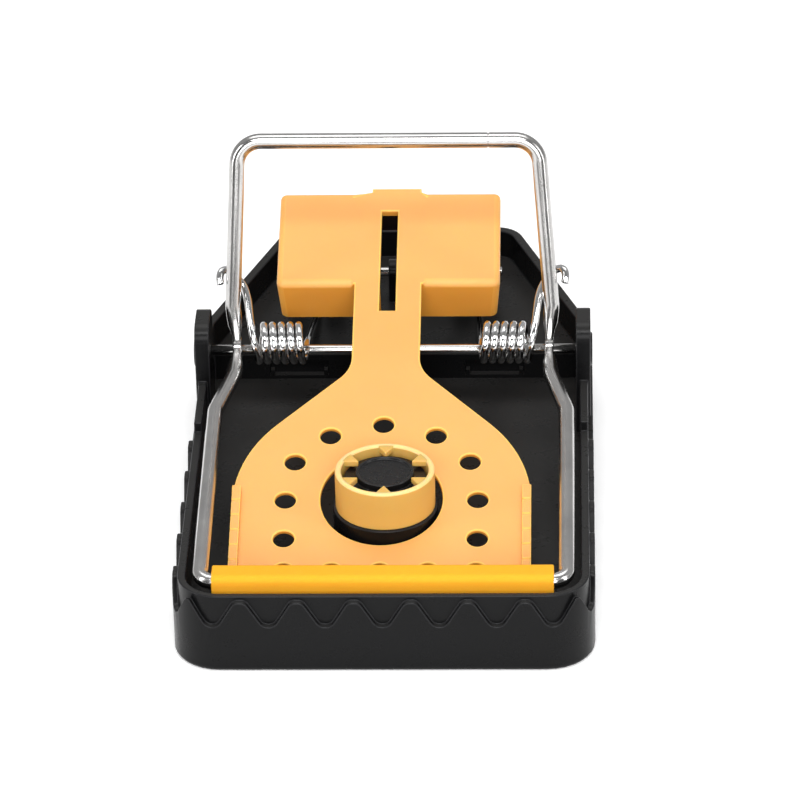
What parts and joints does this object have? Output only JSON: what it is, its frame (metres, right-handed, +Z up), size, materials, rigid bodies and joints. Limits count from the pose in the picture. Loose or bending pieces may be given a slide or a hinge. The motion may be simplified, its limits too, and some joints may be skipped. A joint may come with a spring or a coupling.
{
  "type": "snap mouse trap",
  "caption": "Free-standing snap mouse trap: deep scalloped tray, sprung wire bar on an axle, rocking perforated treadle with rear box, toothed bait ring and twist-out bait dish.",
  "frame": {"origin": "centre of the footprint, on the surface that the base stands on", "axes": "+X to the right seen from the front, +Y from the striking end to the rear, +Z up"},
  "size_m": [0.082, 0.146, 0.0662],
  "materials": {
    "base_black": "semi-gloss moulded plastic",
    "dish_black": "semi-gloss moulded plastic",
    "treadle_yellow": "satin moulded plastic",
    "sleeve_amber": "satin extruded tube",
    "bar_steel": "drawn bright wire",
    "spring_steel": "drawn bright spring wire",
    "steel_rod": "drawn rod"
  },
  "bodies": {
    "base": {"base_tray": "base_black", "axle_rod": "steel_rod", "treadle_pin": "steel_rod", "bait_ring": "treadle_yellow", "torsion_spring_left": "spring_steel", "torsion_spring_right": "spring_steel"},
    "snap_bar": {"snap_bar": "bar_steel", "bar_sleeve": "sleeve_amber"},
    "treadle": {"treadle": "treadle_yellow"},
    "bait_dish": {"bait_dish": "dish_black"}
  },
  "joints": [
    {"name": "snap_bar_hinge", "type": "hinge", "parent": "base", "child": "snap_bar", "pos_m": [0, 0.0117, 0.023], "axis": [-1, 0, 0], "range_deg": [0, 56], "stiffness_Nm_per_rad": 0.06, "springref_deg": -34.38, "deforming": ["torsion_spring_left", "torsion_spring_right"]},
    {"name": "treadle_rock", "type": "hinge", "parent": "base", "child": "treadle", "pos_m": [0, 0.0526, 0.0185], "axis": [-1, 0, 0], "range_deg": [0, 6.5]},
    {"name": "bait_dish_twist", "type": "hinge", "parent": "base", "child": "bait_dish", "pos_m": [-0.0004, -0.0353, 0], "axis": [0, 0, 1], "range_deg": [0, 45]}
  ]
}
